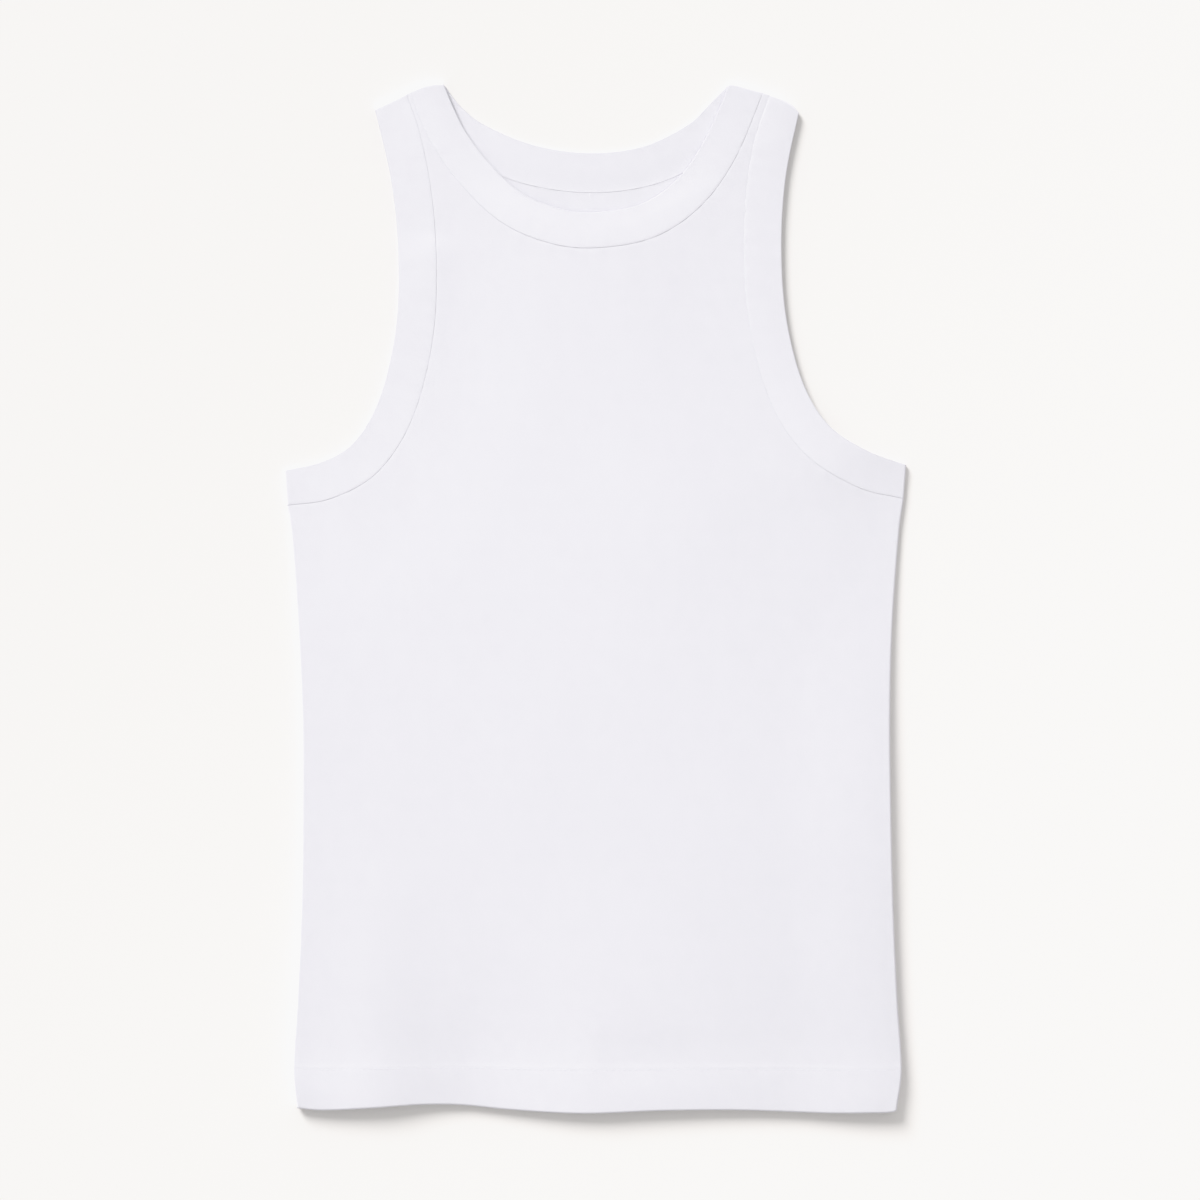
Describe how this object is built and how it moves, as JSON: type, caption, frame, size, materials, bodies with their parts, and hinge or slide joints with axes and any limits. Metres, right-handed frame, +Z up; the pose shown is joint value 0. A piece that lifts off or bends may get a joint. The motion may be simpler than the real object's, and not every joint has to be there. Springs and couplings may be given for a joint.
{
  "type": "tank top",
  "caption": "White fine-knit tank top laid flat, front up, with a bound scoop neck, bound armholes and a turned-up hem.",
  "frame": {"origin": "under the middle of the laid garment's outline, at the height of the table that it lies on", "axes": "+Y from the hem to the neck, +X to the right of someone who looks down on the front, +Z up from the table"},
  "size_m": [0.363, 0.6, 0.0061],
  "materials": {
    "jersey": "matt fine single jersey, white",
    "band": "matt double jersey band, white"
  },
  "bodies": {
    "root": {"front_panel": "jersey", "back_panel": "jersey", "armhole_band_left": "band", "armhole_band_right": "band", "neckband": "band"}
  },
  "joints": []
}
